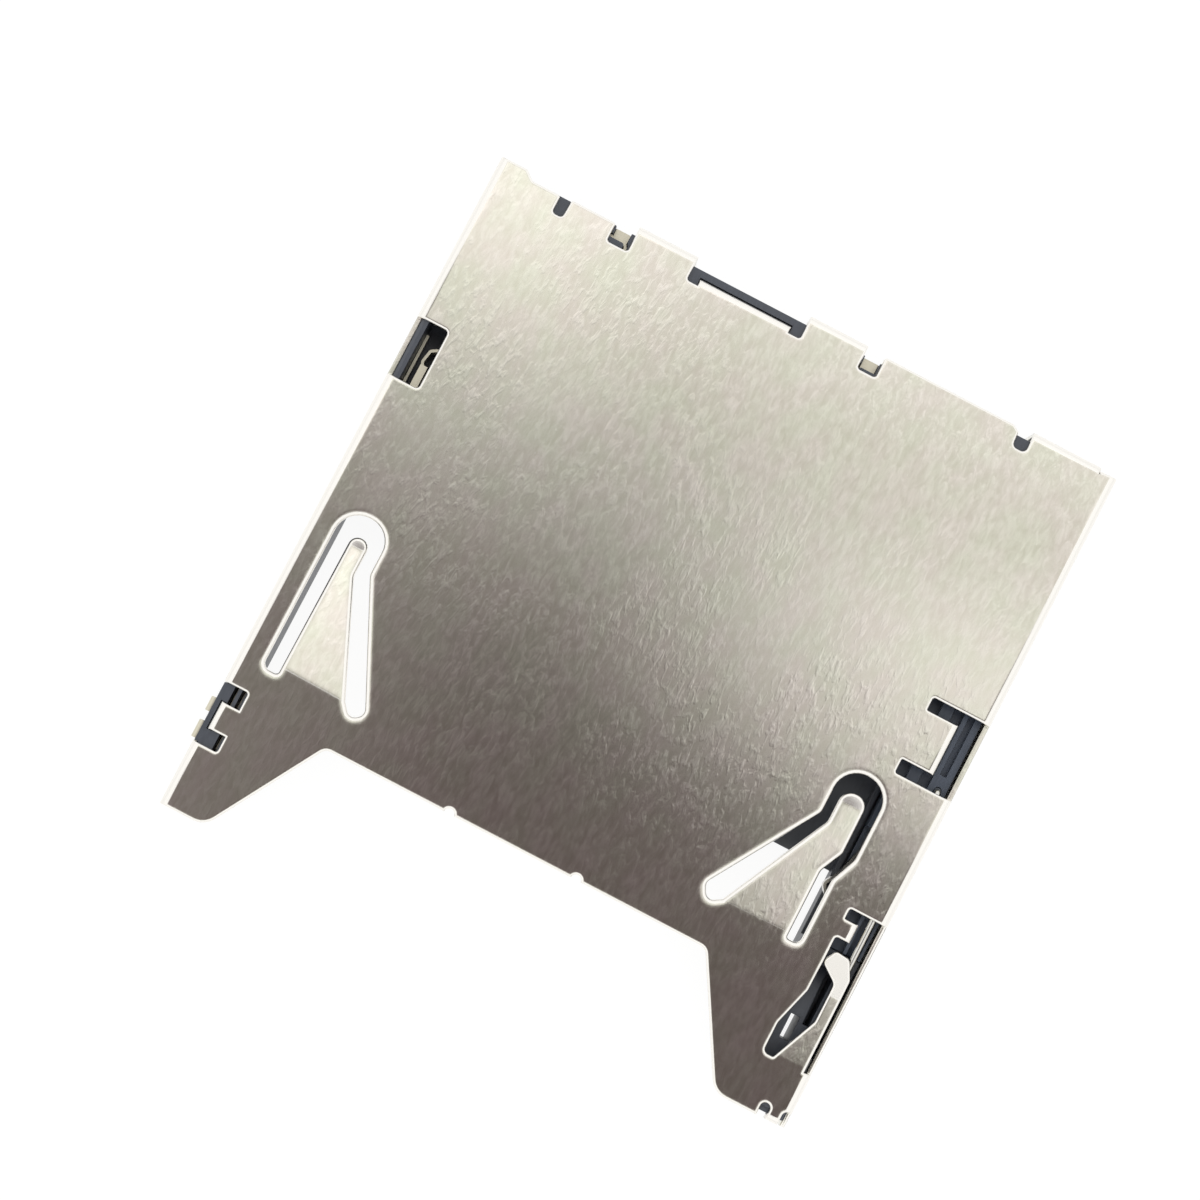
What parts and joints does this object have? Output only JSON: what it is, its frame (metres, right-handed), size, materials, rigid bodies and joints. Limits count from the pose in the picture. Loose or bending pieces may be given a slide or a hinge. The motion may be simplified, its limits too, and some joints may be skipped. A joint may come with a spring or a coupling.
{
  "type": "sd card socket",
  "caption": "Low surface-mount socket for a full-size memory card, with a folded steel cover, sprung contacts, card switches and a push-push ejector.",
  "frame": {"origin": "centre of the shell's footprint on the board plane", "axes": "+Y is the way the card goes in, +Z is away from the board, +X is to the right seen from the mouth"},
  "size_m": [0.0289, 0.0298, 0.0031],
  "materials": {
    "shell_steel": "satin stainless sheet with fine random scratches",
    "housing_plastic": "moulded black plastic, slightly glossy",
    "contact_gold": "gold-plated spring alloy",
    "switch_alloy": "tinned spring alloy",
    "slider_plastic": "moulded dark grey plastic",
    "spring_steel": "bright spring wire and strip",
    "rod_steel": "polished hard wire"
  },
  "bodies": {
    "socket": {"shell_cover": "shell_steel", "insulator_housing": "housing_plastic", "signal_contact_1": "contact_gold", "signal_contact_2": "contact_gold", "signal_contact_3": "contact_gold", "signal_contact_4": "contact_gold", "signal_contact_5": "contact_gold", "signal_contact_6": "contact_gold", "signal_contact_7": "contact_gold", "signal_contact_8": "contact_gold", "signal_contact_9": "contact_gold", "card_switch_moving": "switch_alloy", "card_switch_fixed": "switch_alloy", "lock_switch_moving": "switch_alloy", "lock_switch_fixed": "switch_alloy", "eject_spring": "spring_steel"},
    "slider": {"eject_slider": "slider_plastic", "card_lock_spring": "spring_steel"},
    "rod": {"cam_rod": "rod_steel"}
  },
  "joints": [
    {"name": "eject_slide", "type": "slide", "parent": "socket", "child": "slider", "axis": [0, 1, 0], "range_m": [0, 0.004], "stiffness_N_per_m": 100, "springref_m": -0.004, "deforming": ["eject_spring"]},
    {"name": "rod_swing", "type": "hinge", "parent": "socket", "child": "rod", "pos_m": [0.01366, -0.0086, 0], "axis": [0, 0, 1], "range_deg": [0, 3.4]}
  ],
  "couplings": [
    {"joint": "rod_swing", "follows": "eject_slide", "rad_per_m": 14.83}
  ]
}
